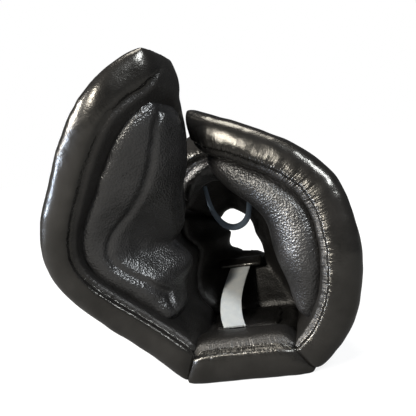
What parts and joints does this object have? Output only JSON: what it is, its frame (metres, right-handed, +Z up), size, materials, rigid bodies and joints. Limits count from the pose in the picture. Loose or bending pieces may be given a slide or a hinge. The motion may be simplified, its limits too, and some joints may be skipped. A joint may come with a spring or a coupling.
{
  "type": "boxing headgear",
  "caption": "Padded leather boxing headgear with cheek pads, brow band, nape roll, laced crown opening and an elastic strap, lying on its nape.",
  "frame": {"origin": "under the middle of the headgear, on the surface it lies on", "axes": "+Z up, through the face opening; +Y from the neck opening to the crown; -X towards the wearer's right ear"},
  "size_m": [0.2442, 0.2176, 0.2696],
  "materials": {
    "shell_leather": "smooth, semi-gloss",
    "lining_leather": "grained, satin",
    "foam": "closed-cell foam",
    "elastic": "woven elastic",
    "lace": "flat woven lace"
  },
  "bodies": {
    "shell": {"crown_binding": "shell_leather", "crown_front_cover": "shell_leather", "crown_front_padding": "foam", "crown_lace": "lace", "crown_left_cover": "shell_leather", "crown_left_padding": "foam", "crown_rear_cover": "shell_leather", "crown_rear_padding": "foam", "crown_right_cover": "shell_leather", "crown_right_padding": "foam", "elastic_strap": "elastic", "forehead_cover": "shell_leather", "forehead_foam": "foam", "forehead_lining": "lining_leather", "forehead_pad": "lining_leather", "forehead_rim": "shell_leather", "nape_cover": "shell_leather", "nape_foam": "foam", "nape_lining": "lining_leather", "nape_rim": "shell_leather", "nape_roll": "lining_leather", "rear_pad": "lining_leather", "strap_upper_tab": "shell_leather"},
    "right_wing": {"right_cheek_pad_foam": "foam", "right_cheek_pad_panel": "lining_leather", "right_wing_cover": "shell_leather", "right_wing_foam": "foam", "right_wing_lining": "lining_leather", "right_wing_rim": "shell_leather"},
    "left_wing": {"left_cheek_pad_foam": "foam", "left_cheek_pad_panel": "lining_leather", "left_wing_cover": "shell_leather", "left_wing_foam": "foam", "left_wing_lining": "lining_leather", "left_wing_rim": "shell_leather"}
  },
  "joints": [
    {"name": "right_wing_open", "type": "hinge", "parent": "shell", "child": "right_wing", "pos_m": [-0.03, 0, 0], "axis": [0, -1, 0], "range_deg": [0, 12], "stiffness_Nm_per_rad": 2, "springref_deg": -11.46},
    {"name": "left_wing_open", "type": "hinge", "parent": "shell", "child": "left_wing", "pos_m": [0.074, 0, 0], "axis": [0, 1, 0], "range_deg": [0, 12], "stiffness_Nm_per_rad": 2, "springref_deg": -11.46}
  ]
}
